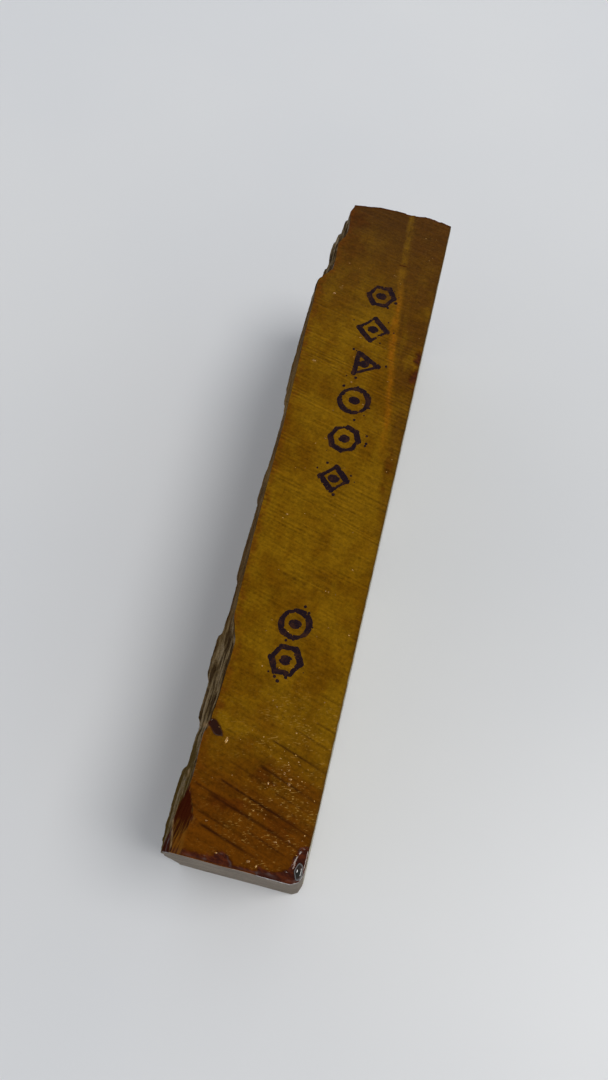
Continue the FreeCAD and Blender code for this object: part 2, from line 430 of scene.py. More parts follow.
class Shell:
    """One skin of the block, open at the honing face, as points and faces."""

    def __init__(self, fine, inset):
        self.points, self.faces, self.kinds, self.count = [], [], [], 0
        places = stations(fine)
        down = graded(fine, *DOWN)
        across = graded(fine, *ACROSS)
        foot_across = graded(fine, *FOOT)
        back = back_rows(places, down, inset)
        edge = on_plane(np.zeros(len(places)), places * LENGTH)
        hone_top = HONE - LIP + 0.1 * field(edge, 2.6, 3, seed=31)
        hone_foot = HONE - LIP + 0.1 * field(edge, 2.6, 3, seed=32)
        top = side_rows(places, across, back[:, 0, 0], hone_top, TOP - inset, inset)
        foot = side_rows(places, foot_across, back[:, -1, 0], hone_foot, inset, inset)
        raised = stamped_side(top[..., 0].ravel(), top[..., 1].ravel()).reshape(top.shape[:2])
        top[..., 2] = raised - inset
        self.fit_back(back, top, foot, inset)
        top_ids = self.add(top)
        back_ids = self.add(back[:, 1:-1])
        foot_ids = self.add(foot)
        back_ids = np.concatenate([top_ids[:, -1:], back_ids, foot_ids[:, -1:]], axis=1)
        self.quads(top_ids, SAWN)
        self.quads(back_ids, RIVEN)
        self.quads(foot_ids, SAWN)
        self.near_line = self.cap(top_ids[0], back_ids[0], foot_ids[0], near_end, inset, SQUARE)
        self.far_line = self.cap(top_ids[-1], back_ids[-1], foot_ids[-1], far_end, -inset, RIVEN)
        self.top_line, self.foot_line = top_ids[:, 0], foot_ids[:, 0]
        self.rim = np.concatenate([
            self.top_line, self.far_line, self.foot_line[::-1], self.near_line[::-1]
        ])

    def fit_back(self, back, top, foot, inset):
        """Moves the back's rows to the ends' own places and to the heights of the long sides."""
        down = np.linspace(0.0, 1.0, back.shape[1])
        place = (back[..., 1] - NEAR) / (CORNER - NEAR)
        back[..., 1] = between_ends(place, back[..., 0], back[..., 2], inset)
        drop = (top[:, -1, 2] - back[:, 0, 2])[:, None] * ramp(0.06, 0.0, down)
        back[..., 2] += drop
        top[:, -1] = back[:, 0]
        foot[:, -1] = back[:, -1]

    def add(self, grid):
        """Keeps a grid's points and returns their numbers in the same layout."""
        flat = grid.reshape(-1, 3)
        first = self.count
        self.points.append(flat)
        self.count += len(flat)
        return np.arange(first, self.count).reshape(grid.shape[:-1])

    def close(self, faces, kind):
        """Keeps faces, each a list of its points' numbers."""
        self.faces += faces
        self.kinds += [kind] * len(faces)

    def quads(self, ids, kind):
        a, b, c, d = ids[:-1, :-1], ids[1:, :-1], ids[1:, 1:], ids[:-1, 1:]
        self.close(np.stack([a, b, c, d], axis=-1).reshape(-1, 4).tolist(), kind)

    def cap(self, top_ids, back_ids, foot_ids, end, inset, kind):
        """Closes one end, between the long sides' last rows and the back's last column."""
        points = np.concatenate(self.points)
        line, column, foot = points[top_ids], points[back_ids], points[foot_ids[0]]
        across = ((line[:, 0] - line[0, 0]) / (line[-1, 0] - line[0, 0]))[:-1]
        inner = []
        for edge in column[1:-1]:
            share = (column[0, 2] - edge[2]) / (column[0, 2] - foot[2])
            start_x = line[0, 0] + share * (foot[0] - line[0, 0])
            x = start_x + across * (edge[0] - start_x)
            level = line[:-1, 2] - share * (line[:-1, 2] - foot[2])
            inner.append(np.stack([x, end(x, level) + inset, level], axis=-1))
        inner_ids = self.add(np.array(inner))
        grid = np.concatenate([inner_ids, back_ids[1:-1, None]], axis=1)
        grid = np.concatenate([top_ids[None, :], grid], axis=0)
        self.quads(grid, kind)
        self.close(zip_rows(grid[-1], foot_ids, np.concatenate(self.points)), kind)
        return grid[1:, 0]

    def draw_in(self, most):
        """Moves the skin inwards away from its rim, clear of the relief of the skin outside it."""
        points = np.concatenate(self.points)
        x, y, z = points.T
        pull = most * ramp(0.5, 2.2, HONE - x)
        middle = TOP / 2
        points[:, 0] = x + pull * ramp(8.0, 12.0, HONE - x)
        points[:, 1] = y * (1.0 - pull / (LENGTH / 2))
        points[:, 2] = middle + (z - middle) * (1.0 - pull / middle)
        self.points = [points]


def zip_rows(first, second, points):
    """Triangles between two rows of points that start and end side by side."""
    faces = []
    i = j = 0
    while i < len(first) - 1 or j < len(second) - 1:
        step_first = j == len(second) - 1
        if i < len(first) - 1 and j < len(second) - 1:
            over = np.linalg.norm(points[first[i + 1]] - points[second[j]])
            under = np.linalg.norm(points[first[i]] - points[second[j + 1]])
            step_first = over <= under
        if step_first:
            faces.append([int(first[i]), int(first[i + 1]), int(second[j])])
            i += 1
        else:
            faces.append([int(first[i]), int(second[j + 1]), int(second[j])])
            j += 1
    return faces


def add_object(name, data):
    """Puts an object with that data in the scene."""
    item = bpy.data.objects.new(name, data)
    bpy.context.scene.collection.objects.link(item)
    return item


def to_mesh(name, points, faces, kinds=None, sharp_from=None, merge=1e-7, thickness=0.0):
    """A named mesh object in metres, with its faces turned outwards.

    Faces that meet at sharp_from degrees or more keep a sharp edge. A sheet with a thickness is
    made solid and stays flat-shaded.
    """
    mesh = bpy.data.meshes.new(name)
    mesh.from_pydata((np.asarray(points) * MM).tolist(), [], faces)
    if kinds is not None:
        mesh.polygons.foreach_set("material_index", kinds)
    work = bmesh.new()
    work.from_mesh(mesh)
    bmesh.ops.remove_doubles(work, verts=work.verts, dist=merge)
    bmesh.ops.recalc_face_normals(work, faces=work.faces)
    if thickness:
        bmesh.ops.solidify(work, geom=work.faces[:], thickness=thickness * MM)
    work.to_mesh(mesh)
    work.free()
    if not thickness:
        mesh.shade_smooth()
    if sharp_from is not None:
        mesh.set_sharp_from_angle(angle=math.radians(sharp_from))
    return add_object(name, mesh)


def paint(piece, name, values):
    """Stores one number for each point of a piece, for its material to read."""
    layer = piece.data.attributes.new(name, "FLOAT", "POINT")
    layer.data.foreach_set("value", np.asarray(values, dtype=np.float32))


def positions(piece):
    """A piece's points in millimetres."""
    found = np.empty(len(piece.data.vertices) * 3, dtype=np.float32)
    piece.data.vertices.foreach_get("co", found)
    return found.reshape(-1, 3).astype(float) / MM


def make_coat():
    """The lacquer: an outer skin with the relief, a coarser inner one and a rim joining them."""
    outer = Shell(1.0, 0.0)
    inner = Shell(COARSE, FILM)
    inner.draw_in(0.45)
    points = np.concatenate([*outer.points, *inner.points])
    inner_faces = [[number + outer.count for number in face] for face in inner.faces]
    outer_rim = np.append(outer.rim, outer.rim[0])
    inner_rim = np.append(inner.rim, inner.rim[0]) + outer.count
    rim = zip_rows(outer_rim, inner_rim, points)
    kinds = outer.kinds + inner.kinds + [SAWN] * len(rim)
    coat = to_mesh("lacquer_coat_looks", points, outer.faces + inner_faces + rim, kinds, 50)
    placed = positions(coat)
    x, y, z = placed.T
    paint(coat, "stain", stain_mask(placed))
    paint(coat, "edge", edge_mask(placed))
    crack = crack_mask(x, y, field(placed, 1.3, 3, seed=27))
    scratch = np.maximum(strokes(x, y, SCRATCHES, 21), crack)
    paint(coat, "scratch", np.where(z > TOP - 1.2, scratch, 0.0))
    # Pale ridges: painted highlights along the brinks, with scuffs.
    paint(coat, "scuff", np.where(z > TOP - 9.0, strokes(x, y, SCUFF_HIGHLIGHTS, 61), 0.0))
    face = ramp(-0.3, 0.3, depth_inside(x, y, FLAKE_FACE))
    paint(coat, "flake", face * ramp(TOP - 9.0, TOP - 5.0, z))
    return coat


def make_stone():
    """The bare stone: a skin just inside the lacquer, closed by the flat honing face."""
    skin = Shell(COARSE, FILM + 0.02)
    skin.draw_in(0.75)
    points = np.concatenate(skin.points)
    near, far = points[skin.near_line], points[skin.far_line]
    places = stations(COARSE)[1:-1]
    top, foot = points[skin.top_line][1:-1], points[skin.foot_line][1:-1]
    y, z = (near[:, None, axis] + places * (far - near)[:, None, axis] for axis in (1, 2))
    away = np.minimum(
        np.minimum(y - near[:, None, 1], far[:, None, 1] - y),
        np.minimum(top[None, :, 2] - z, z - foot[None, :, 2]),
    )
    x = HONE - np.clip(LIP - away, 0.0, LIP)
    inner = skin.add(np.stack([x, y, z], axis=-1))
    grid = np.concatenate([skin.near_line[:, None], inner, skin.far_line[:, None]], axis=1)
    grid = np.concatenate([skin.top_line[None, :], grid, skin.foot_line[None, :]], axis=0)
    skin.quads(grid, SAWN)
    return to_mesh("stone_block_looks", np.concatenate(skin.points), skin.faces, None, 50)


# ---- ink marks

# The two stamps: place of the first mark along the length, pitch, and each mark's number of sides
# (0 is round) and radius.
STAMPS = {
    "upper_stamp": (66.3, 13.4, [(6, 4.6), (4, 5.0), (3, 5.1), (0, 4.8), (8, 4.7), (4, 4.4)]),
    "lower_stamp": (-44.5, 9.8, [(0, 4.2), (6, 4.4)]),
}
MARK_X = HONE - 16.4
INK_CELL = 0.16  # grid that the ink's outline is cut from
INK_REACH = 7.0
INK_RISE = 0.035
INK_THICK = 0.03


def ring_corners(centre, sides, radius):
    """The corners of a mark's ring, closed."""
    count = sides or 36
    turns = [math.tau * number / count for number in range(count + 1)]
    return [(centre[0] + radius * math.cos(t), centre[1] + radius * math.sin(t)) for t in turns]


def ink_depth(x, y, centre, sides, radius, dots):
    """How far inside the ink each point lies, in millimetres, for one mark and its spatter."""
    points = on_plane(x, y)
    wobble = 0.16 * field(points, 1.7, 2, seed=41)
    depth = np.full_like(x, -9.0)
    corners = ring_corners(centre, sides, radius * 0.86)
    for start, end in zip(corners, corners[1:]):
        direction = math.atan2(end[1] - start[1], end[0] - start[0])
        half = 0.42 + 0.45 * abs(math.sin(direction - math.radians(35.0)))
        away, _ = segment_distance(x, y, start, end)
        depth = np.maximum(depth, half - away)
    hub = 1.5 - np.hypot((x - centre[0]) * 0.9, (y - centre[1]) * 1.15)
    depth = np.maximum(depth, hub)
    worn = ramp(0.35, 0.9, field(points, 1.5, 3, seed=42))
    depth = depth + wobble - 0.6 * worn
    pits = ramp(0.45, 0.65, field(points, 0.55, 2, seed=43))
    depth = depth - 0.35 * pits
    for (dx, dy), size in dots:
        dot = size - np.hypot(x - centre[0] - dx, y - centre[1] - dy) + 0.6 * wobble
        depth = np.maximum(depth, dot)
    return depth


def contour(depth, xs, ys):
    """Faces that fill where depth is above 0 on a grid, cut along its edge, and their points."""
    points, faces, known = [], [], {}

    def corner(i, j):
        return number(("at", i, j), xs[i], ys[j])

    def crossing(i, j, m, n):
        key = ("cut", *sorted([(i, j), (m, n)]))
        share = depth[i, j] / (depth[i, j] - depth[m, n])
        return number(key, xs[i] + share * (xs[m] - xs[i]), ys[j] + share * (ys[n] - ys[j]))

    def number(key, x, y):
        if key not in known:
            known[key] = len(points)
            points.append((x, y))
        return known[key]

    for i in range(len(xs) - 1):
        for j in range(len(ys) - 1):
            loop = [(i, j), (i + 1, j), (i + 1, j + 1), (i, j + 1)]
            inked = [depth[a] > 0.0 for a in loop]
            if not any(inked):
                continue
            face = []
            for k in range(4):
                here, after = loop[k], loop[(k + 1) % 4]
                if inked[k]:
                    face.append(corner(*here))
                if inked[k] != inked[(k + 1) % 4]:
                    face.append(crossing(*here, *after))
            if len(face) > 2:
                faces.append(face)
    return points, faces


def make_stamp(node):
    """One stamp: worn ink that lies on the lacquer, a few hundredths of a millimetre thick."""
    chance = random.Random(node)
    points, faces = [], []
    start, pitch, marks = STAMPS[node]
    for index, (sides, radius) in enumerate(marks):
        centre = (MARK_X, start - pitch * index)
        dots = []
        for _ in range(5):
            turn = chance.uniform(0.0, math.tau)
            reach = chance.uniform(radius, radius * 1.4)
            place = (reach * math.cos(turn), reach * math.sin(turn))
            dots.append((place, chance.uniform(0.12, 0.5)))
        xs = np.arange(centre[0] - INK_REACH, centre[0] + INK_REACH, INK_CELL)
        ys = np.arange(centre[1] - INK_REACH, centre[1] + INK_REACH, INK_CELL)
        grid_x, grid_y = np.meshgrid(xs, ys, indexing="ij")
        depth = ink_depth(grid_x.ravel(), grid_y.ravel(), centre, sides, radius, dots)
        found, cells = contour(depth.reshape(grid_x.shape), xs, ys)
        flat = np.array(found)
        height = stamped_side(flat[:, 0], flat[:, 1]) + INK_RISE
        first = len(points)
        points += np.column_stack([flat, height]).tolist()
        faces += [[number + first for number in cell] for cell in cells]
    return to_mesh(f"{node}_looks", points, faces, merge=1e-6, thickness=INK_THICK)


def dome(centre, radii, height, sides, rings, seed, ragged=0.08):
    """A low, slightly uneven drop that sinks a little below its foot, as points and faces."""
    points, faces = [], []
    chance = random.Random(seed)
    lobes = [(k, chance.uniform(0.0, math.tau), chance.uniform(0.3, 1.0)) for k in (2, 3, 5)]
    for ring in range(rings + 1):
        rise = math.pi / 2 * ring / rings
        for side in range(sides):
            turn = math.tau * side / sides
            bulge = 1.0 + ragged * sum(w * math.sin(k * turn + p) for k, p, w in lobes) / 2
            reach = math.cos(rise) * bulge
            x = centre[0] + radii[0] * reach * math.cos(turn)
            y = centre[1] + radii[1] * reach * math.sin(turn)
            points.append((x, y, centre[2] + height * math.sin(rise)))
    for ring in range(rings):
        for side in range(sides):
            after = (side + 1) % sides
            low, high = ring * sides, (ring + 1) * sides
            faces.append([low + side, low + after, high + after, high + side])
    faces.append(list(range(sides - 1, -1, -1)))
    return points, faces


def make_bead():
    """The hardened drop of lacquer at the worn corner."""
    low, high = (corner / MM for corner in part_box("corner_bead"))
    middle = (low + high) / 2
    radii = ((high.x - low.x) / 2 * 0.96, (high.y - low.y) / 2 * 0.94)
    foot = TOP - 0.05
    points, faces = dome((middle.x, middle.y, foot), radii, high.z - foot - 0.02, 56, 22, 5)
    for number, (x, y, z) in enumerate(points):
        reach = math.hypot((x - middle.x) / radii[0], (y - middle.y) / radii[1])
        sink = 0.24 * (1.0 - float(ramp(0.1, 0.72, reach)))
        points[number] = (x, y, foot + (z - foot) * (1.0 - sink))
    return to_mesh("corner_bead_looks", points, faces)


NIBS = 110
NEAR_NIBS = 34  # of which so many lie close together near the worn corner

# Blobs in the lacquer big enough to be told apart, set where the lacquer glints and coloured pale
# as painted glints: centre, half sizes.
GLINT_BLOBS = [
    ((-5.2, -76.8), (0.38, 0.75)),
    ((7.0, -101.6), (0.4, 0.32)),
    ((9.0, -102.2), (0.26, 0.3)),
    ((-0.6, -101.5), (0.34, 0.26)),
    ((11.8, -83.2), (0.34, 0.42)),
    ((7.0, -84.1), (0.24, 0.34)),
    ((-10.9, 64.0), (0.55, 0.34)),
    ((-11.0, 37.3), (0.55, 0.26)),
]


def make_nibs():
    """Dust and drips that dried into the lacquer, each a tiny glossy bump, coloured pale as a
    painted glint.
    """
    chance = random.Random(12)
    drops = [(centre, radii, 0.5 * min(radii)) for centre, radii in GLINT_BLOBS]
    for number in range(NIBS):
        y = NEAR + 3.0 + (LENGTH - 9.0) * chance.random() ** 1.7
        edge = float(shape.back_edge(y))
        x = edge + 1.5 + (HONE - 3.0 - edge) * chance.random() ** 0.8
        if number < NEAR_NIBS:
            x, y = chance.gauss(12.5, 3.6), chance.gauss(-83.0, 6.0)
            x = min(x, HONE - 1.2)
        size = chance.uniform(0.07, 0.15) * (1.0 + 0.7 * (chance.random() > 0.88))
        drops.append(((x, y), (size * chance.uniform(0.8, 2.2), size), 0.7 * size))
    points, faces = [], []
    for number, (centre, radii, height) in enumerate(drops):
        level = float(stamped_side(np.array([centre[0]]), np.array([centre[1]]))[0])
        found, cells = dome((*centre, level - 0.03), radii, height, 10, 3, number, 0.3)
        first = len(points)
        points += found
        faces += [[index + first for index in cell] for cell in cells]
    return to_mesh("dust_nibs", points, faces)


# ---- materials

GAIN = 1.02  # from a shown colour to the base colour that gives it under the scene's lights


def tone(red, green, blue):
    """The base colour of a surface that shows as this screen colour under the scene's lights."""
    shares = [level / 255 for level in (red, green, blue)]
    linear = [((s + 0.055) / 1.055) ** 2.4 if s > 0.04 else s / 12.92 for s in shares]
    return (*(min(1.0, value * GAIN) for value in linear), 1.0)


class Value:
    """A node's output, with plain arithmetic on what it holds all over the surface."""

    def __init__(self, graph, socket):
        self.graph, self.socket = graph, socket

    def __add__(self, other):
        return self.graph.math("ADD", self, other)

    def __sub__(self, other):
        return self.graph.math("SUBTRACT", self, other)

    def __rsub__(self, other):
        return self.graph.math("SUBTRACT", other, self)

    def __mul__(self, other):
        return self.graph.math("MULTIPLY", self, other)

    def centred(self, gain):
        return (self - 0.5) * gain

    def step(self, low, high, first=0.0, last=1.0):
        """Smoothly from first where the value is at most low to last where it is at least high."""
        inputs = dict(enumerate((self, low, high, first, last)))
        return self.graph.node("MapRange", inputs, interpolation_type="SMOOTHSTEP")


class Graph:
    """A tree of nodes, with a short call for making one and feeding it."""

    def __init__(self, tree):
        self.tree = tree

    def put(self, socket, value):
        if isinstance(value, Value):
            self.tree.links.new(value.socket, socket)
        else:
            socket.default_value = value

    def node(self, kind, inputs, output=0, **settings):
        """The output of a new node with these settings and inputs."""
        node = self.tree.nodes.new(f"ShaderNode{kind}")
        for name, value in settings.items():
            setattr(node, name, value)
        for socket, value in inputs.items():
            self.put(node.inputs[socket], value)
        return Value(self, node.outputs[output])

    def math(self, operation, first, second=0.0):
        return self.node("Math", {0: first, 1: second}, operation=operation)


class Look(Graph):
    """A material, with a short call for each kind of node that is used here."""

    def __init__(self, name, **constants):
        self.material = bpy.data.materials.new(name)
        self.material.use_nodes = True
        super().__init__(self.material.node_tree)
        self.shader = self.tree.nodes["Principled BSDF"]
        self.shade(**constants)
        place = self.node("TexCoord", {}, "Object")
        self.place = self.node("VectorMath", {0: place, "Scale": 1.0 / MM}, operation="SCALE")
        self.x, self.y, self.z = (
            self.node("SeparateXYZ", {0: self.place}, axis) for axis in "XYZ"
        )

    def shade(self, **sockets):
        """Sets sockets of the shader, each named with _ in place of its spaces."""
        for name, value in sockets.items():
            self.put(self.shader.inputs[name.replace("_", " ")], value)

    def mix(self, share, first, second, blend="MIX"):
        inputs = {0: share, 6: first, 7: second}
        return self.node("Mix", inputs, 2, data_type="RGBA", blend_type=blend)

    def noise(self, cell, octaves=3, sharp=0.5, shift=0.0, turn=0.0):
        """Noise from 0 to 1 with features of that size, given in millimetres along x, y and z."""
        inputs = {
            "Vector": self.place,
            "Rotation": (0.0, 0.0, -turn),
            "Location": (shift, shift * 0.7, shift * 0.4),
            "Scale": cell if isinstance(cell, tuple) else (cell,) * 3,
        }
        place = self.node("Mapping", inputs, vector_type="TEXTURE")
        inputs = {"Vector": place, "Scale": 1.0, "Detail": octaves, "Roughness": sharp}
        return self.node("TexNoise", inputs)

    def attribute(self, name):
        return self.node("Attribute", {}, "Fac", attribute_name=name)

    def curve(self, value, points):
        """A smooth curve through points whose both numbers run from 0 to 1."""
        node = self.tree.nodes.new("ShaderNodeFloatCurve")
        line = node.mapping.curves[0]
        line.points[0].location = points[0]
        line.points[1].location = points[-1]
        for point in points[1:-1]:
            line.points.new(*point)
        node.mapping.update()
        self.put(node.inputs["Value"], value)
        return Value(self, node.outputs[0])

    def ground(self, share, first, second):
        """Starts the colour, which goes from the first tone to the second as share rises."""
        self.colour = self.mix(share, tone(*first), tone(*second))

    def layer(self, share, over):
        """Lays another tone, or a colour that changes, over the colour as far as share says."""
        self.colour = self.mix(share, self.colour, over if isinstance(over, Value) else tone(*over))

    def dim(self, value):
        """Multiplies the colour, so that a value of 1 leaves it as it is."""
        self.colour = self.mix(1.0, self.colour, value, "MULTIPLY")

    def bump(self, height, depth):
        """Relief of that depth in millimetres, finer than the mesh."""
        self.shade(Normal=self.node("Bump", {"Distance": depth * MM, "Height": height}))

    def finish(self, **sockets):
        self.shade(Base_Color=self.colour, **sockets)
        return self.material


# The seam between two layers of the rock, along the stamped side: y, x.
SEAM = [
    (NEAR, 21.5), (-28.0, 17.2), (0.0, 15.8), (11.0, 14.8), (20.0, 14.3), (29.0, 13.4),
    (36.7, 12.3), (44.6, 11.0), (53.0, 10.0), (63.0, 9.4), (70.3, 8.9), (76.0, 8.1),
    (88.0, 7.6), (FAR, 6.8),
]


def seam_distance(look):
    """How far each point lies beyond the seam, towards the honing face, in millimetres."""
    reach = 30.0
    along = look.math("DIVIDE", look.y - NEAR, LENGTH)
    line = look.curve(along, [((y - NEAR) / LENGTH, x / reach) for y, x in SEAM])
    return look.x - line * reach + look.noise((4.0, 7.0, 4.0), 3).centred(1.6)


def saw_marks(look):
    """Fine and broad streaks along the saw's path, from about -1 to 1."""
    across = look.y * math.cos(SAW_SLOPE) + look.x * math.sin(SAW_SLOPE)
    drift = look.noise((26.0, 3.0, 9.0), 2, 0.5, 2.0, SAW_SLOPE).centred(12.0)
    teeth = look.math("SINE", across * (math.tau / SAW_PITCH) + drift)
    patchy = look.noise((18.0, 4.0, 9.0), 3, 0.6, 5.0, SAW_SLOPE).step(0.42, 0.6)
    clear = look.y.step(74.0, 40.0, 0.15, 1.0) * look.y.step(-62.0, -12.0, 0.35, 1.0)
    short = look.noise((13.0, 0.45, 9.0), 3, 0.6, 0.0, SAW_SLOPE).centred(2.6)
    broad = look.noise((50.0, 1.8, 14.0), 3, 0.6, 7.0, SAW_SLOPE).centred(2.6)
    return teeth * (patchy * clear) * 0.8 + short, broad


def flake_stripes(look):
    """Brown and amber stripes that run down the flake."""
    stripes = look.noise((0.55, 7.0, 9.0), 3, 0.6, 4.0, 0.15)
    return look.mix(stripes.step(0.42, 0.58), tone(50, 20, 6), tone(112, 72, 20))


def sawn_look():
    """Lacquer that has soaked into the sawn sides: satin, golds and browns, little reflecting."""
    look = Look(
        "sawn_lacquer",
        Specular_IOR_Level=0.05,
        Specular_Tint=(1.0, 0.68, 0.22, 1.0),
        Coat_Roughness=0.08,
    )
    cloud = look.noise((9.0, 15.0, 12.0), 4, 0.6, 3.0)
    fleck = look.noise(0.85, 4, 0.7)
    grain = look.noise((2.6, 1.3, 2.0), 4, 0.65, 6.0, SAW_SLOPE)
    stain = look.attribute("stain")
    fine, broad = saw_marks(look)
    look.ground(cloud.step(0.36, 0.62), (99, 64, 3), (117, 83, 7))

    # Browner towards both ends.
    uneven = look.noise((20.0, 6.0, 9.0), 3, 0.6, 0.0, SAW_SLOPE).centred(34.0)
    look.layer((look.y + uneven).step(-62.0, -96.0), (90, 48, 4))
    uneven = look.noise(14.0, 4, 0.6, 11.0).centred(60.0)
    look.layer((look.y + uneven).step(45.0, 108.0), (74, 45, 10))

    # The seam, the redder layer of rock beyond it and the dark back edge.
    beyond = seam_distance(look)
    redder = beyond.step(0.0, 2.4) * look.y.step(-30.0, 30.0, 0.12, 0.62)
    blotch = look.noise((5.0, 9.0, 5.0), 4, 0.6, 8.0).step(0.36, 0.6, 0.45, 1.25)
    look.layer(redder * blotch, (78, 46, 9))
    line = look.math("ABSOLUTE", beyond).step(1.7, 0.0) * look.y.step(2.0, 34.0)
    patchy = look.noise((2.0, 4.0, 3.0), 4, 0.65, 5.0).step(0.32, 0.62, 0.15, 0.75)
    warm = look.mix(look.y.step(84.0, 56.0), tone(116, 82, 12), tone(142, 84, 8))
    look.layer(line * patchy, warm)
    ragged = look.noise(2.2, 4, 0.65).step(0.34, 0.62, 0.1, 0.75)
    look.layer(look.attribute("edge") * ragged, (92, 48, 7))

    # Saw marks and mottling.
    value = broad * look.y.step(-66.0, -92.0, 0.15, 0.3) + fine * 0.2 + 1.0
    look.dim(value + fleck.centred(1.32) + grain.centred(0.864))

    # Painted highlights and scuffs on pale ridges, rubbed streaks, painted shade along the honing
    # face's margin, pools, the flake and scratches.
    look.layer(look.attribute("scuff"), (150, 112, 60))
    rubbed = look.noise((1.1, 0.28, 1.0), 3, 0.6, 12.0, SAW_SLOPE - 0.5).step(0.57, 0.67)
    where = look.noise(5.0, 3, 0.6, 14.0).step(0.44, 0.56)
    reach = look.y.step(-52.0, -74.0, 0.12, 1.0) * look.x.step(-4.0, 9.0, 0.25, 1.0)
    look.layer(rubbed * where * reach * 0.75, (170, 130, 62))
    # Painted shade: a darker margin along the lacquer's edge at the honing face.
    look.layer(look.x.step(HONE - 0.9, HONE - 0.25, 0.0, 0.45), (58, 42, 14))
    pool = look.mix(grain.step(0.4, 0.62), tone(50, 13, 4), tone(80, 32, 8))
    look.layer(stain, pool)
    look.layer(look.attribute("flake") * 0.6, flake_stripes(look))
    look.layer(look.attribute("scratch"), (40, 14, 5))

    relief = fine * 0.5 + broad * 0.5 + fleck.centred(0.4)
    look.bump(relief * (1.0 - stain), 0.05)
    rough = look.math("MAXIMUM", fleck * 0.16 + 0.34 - stain * 0.3, 0.08)
    return look.finish(Roughness=rough, Coat_Weight=stain.step(0.45, 1.0, 0.0, 0.55))


def riven_look():
    """Lacquer over split and broken rock: brown and olive layers, pale on their brinks with painted
    highlights and scuffs.
    """
    look = Look("riven_lacquer", Coat_Roughness=0.16, Specular_IOR_Level=0.0)
    layers = look.noise((0.7, 12.0, 3.0), 5, 0.62)
    cloud = look.noise((9.0, 17.0, 14.0), 4, 0.6, 3.0)
    pits = look.noise(1.0, 4, 0.65, 9.0)
    grit = look.noise(0.45, 3, 0.65, 15.0)
    ledges = look.noise((0.8, 9.0, 2.6), 4, 0.65, 21.0)
    flake = look.attribute("flake")
    look.ground(cloud.step(0.36, 0.64), (66, 45, 22), (96, 72, 36))
    look.layer(layers.step(0.46, 0.68, 0.0, 0.45), (112, 86, 48))
    look.layer(layers.step(0.46, 0.3, 0.0, 0.45), (52, 34, 16))
    calm = look.y.step(-58.0, -38.0) * look.y.step(68.0, 56.0)
    rough = look.z.step(TOP - 34.0, TOP - 4.0) * calm.step(1.0, 0.0, 0.25, 1.0)
    ledge = look.mix(ledges.step(0.4, 0.6), tone(34, 23, 12), tone(110, 92, 62))
    look.layer(rough * 0.85, ledge)
    look.layer(pits.step(0.55, 0.7, 0.0, 0.6), (34, 21, 10))
    facet = look.y.step(-73.0, -79.0, 0.0, 0.9) * look.z.step(TOP - 22.0, TOP - 12.0)
    look.layer(facet * ledges.step(0.62, 0.44, 0.35, 1.0), (70, 54, 20))
    brink = look.z.step(TOP - 1.0, TOP - 0.25)
    look.layer(brink * look.noise(1.8, 3, 0.6).step(0.36, 0.6, 0.35, 0.95), (46, 30, 12))
    look.dim(grit.step(0.3, 0.7, 0.8, 1.2))
    look.layer(flake * 0.9, flake_stripes(look))
    # Pale ridges: painted highlights along the brinks, with scuffs.
    look.layer(look.attribute("scuff"), (150, 118, 78))
    look.layer(look.attribute("stain"), (52, 16, 6))
    wet = pits.step(0.6, 0.4, 0.1, 0.45) * look.z.step(TOP - 9.0, TOP - 24.0, 0.12, 1.0)
    glint = rough * ledges.step(0.5, 0.62, 0.0, 0.4)
    gloss = look.math("MAXIMUM", wet, glint) * (1.0 - flake)
    look.bump(pits * 0.7 + layers * 0.8 + grit * 0.35, 0.22)
    return look.finish(Coat_Weight=gloss, Roughness=pits.step(0.3, 0.7, 0.4, 0.65))


def square_look():
    """Thin, grey lacquer over the sawn square end, with a painted highlight along its top edge,
    thick and dark at the worn corner.
    """
    look = Look("square_end_lacquer", Specular_IOR_Level=0.1, Coat_Roughness=0.1)
    saw = look.noise((7.0, 7.0, 0.5), 3, 0.5)
    cloud = look.noise(8.0, 4, 0.6)
    grain = look.noise(0.8, 4, 0.65, 4.0)
    stain = look.attribute("stain")
    look.ground(cloud.step(0.35, 0.65), (94, 85, 74), (122, 112, 100))
    look.layer(saw.step(0.45, 0.7, 0.0, 0.5), (78, 66, 54))
    look.layer(grain.step(0.5, 0.68, 0.0, 0.5), (140, 128, 116))
    # Painted highlight: a pale band along the top edge of the square end.
    look.layer(look.z.step(TOP - 2.2, TOP - 0.9, 0.0, 0.8), (176, 163, 152))
    look.layer(stain, (38, 14, 7))
    look.bump(saw + grain, 0.05)
    gloss = stain.step(0.5, 1.0, 0.0, 0.7)
    return look.finish(Coat_Weight=gloss, Roughness=cloud.step(0.3, 0.7, 0.7, 0.82))


def stone_look():
    """Bare rock, worn flat: grey-green with faint clouds, dark specks and hair-fine scratches."""
    look = Look("bare_stone", Specular_IOR_Level=0.25)
    cloud = look.noise((30.0, 26.0, 14.0), 5, 0.6)
    speck = look.noise(0.7, 3, 0.6)
    karasu = look.noise((9.0, 5.0, 3.5), 4, 0.7, 4.0)  # dark natural spots
    scratch = look.noise((4.0, 40.0, 0.25), 2, 0.5)
    look.ground(cloud.step(0.35, 0.66), (138, 134, 118), (160, 156, 138))
    look.layer(karasu.step(0.6, 0.74, 0.0, 0.5), (96, 94, 88))
    look.layer(speck.step(0.6, 0.72, 0.0, 0.35), (108, 104, 92))
    look.layer(scratch.step(0.56, 0.7, 0.0, 0.25), (176, 173, 158))
    look.bump(scratch + speck * 0.6, 0.02)
    return look.finish(Roughness=cloud.step(0.3, 0.7, 0.62, 0.78))


